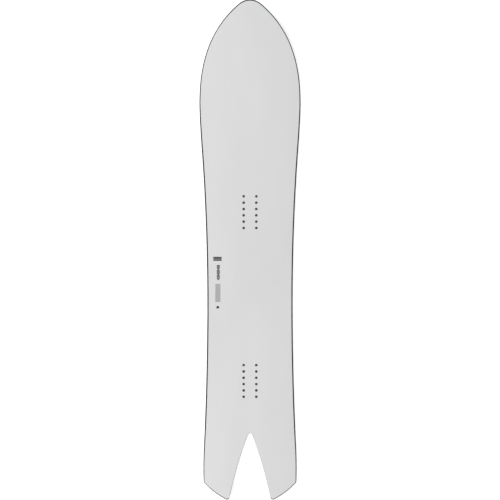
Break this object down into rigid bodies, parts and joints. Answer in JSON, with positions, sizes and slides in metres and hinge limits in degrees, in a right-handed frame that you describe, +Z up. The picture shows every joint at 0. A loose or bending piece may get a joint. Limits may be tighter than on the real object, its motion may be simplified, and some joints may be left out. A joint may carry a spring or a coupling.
{
  "type": "snowboard",
  "caption": "Directional swallow-tail snowboard with a pointed nose, steel edges, a layered wood core and threaded insert packs for bindings.",
  "frame": {"origin": "on the running base, on the centreline, midway between the two insert packs", "axes": "+Y towards the nose, +X to the right seen from above with the nose up, +Z up out of the topsheet"},
  "size_m": [0.321, 1.5667, 0.068],
  "materials": {
    "base": "red sintered polyethylene with a stone-ground texture, waxed",
    "edge_steel": "ground hardened steel, darker than the tail's aluminium",
    "edge_rubber": "black damping foil",
    "tail_metal": "satin aluminium, bevelled towards the outline",
    "glass_laminate": "glass cloth set in epoxy, dark green-grey at its cut edge",
    "core_wood": "pale poplar, fine straight grain",
    "core_stringer_wood": "darker ash, open straight grain",
    "sidewall_plastic": "black ABS with milling marks along the board",
    "tail_plastic": "dark grey ABS, milled",
    "notch_plastic": "light grey ABS, milled",
    "insert_steel": "turned steel, blackened",
    "insert_mat": "woven glass mat under the top laminate",
    "topsheet": "light grey nylon, satin, with small dark printed marks"
  },
  "bodies": {
    "root": {"base": "base", "steel_edge_left": "edge_steel", "steel_edge_right": "edge_steel", "edge_foil_left": "edge_rubber", "edge_foil_right": "edge_rubber", "tail_protector_left": "tail_metal", "tail_protector_right": "tail_metal", "bottom_laminate": "glass_laminate", "core_centre_stringer": "core_stringer_wood", "core_insert_stringer_left": "core_stringer_wood", "core_insert_stringer_right": "core_stringer_wood", "core_inner_strip_left": "core_wood", "core_inner_strip_right": "core_wood", "core_middle_strip_left": "core_wood", "core_middle_strip_right": "core_wood", "core_outer_strip_left": "core_wood", "core_outer_strip_right": "core_wood", "sidewall_left": "sidewall_plastic", "sidewall_right": "sidewall_plastic", "nose_spacer": "sidewall_plastic", "tail_block_left": "tail_plastic", "tail_block_right": "tail_plastic", "notch_liner_left": "notch_plastic", "notch_liner_right": "notch_plastic", "inserts_front": "insert_steel", "inserts_rear": "insert_steel", "insert_mat_front": "insert_mat", "insert_mat_rear": "insert_mat", "top_laminate": "glass_laminate", "topsheet": "topsheet"}
  },
  "joints": []
}
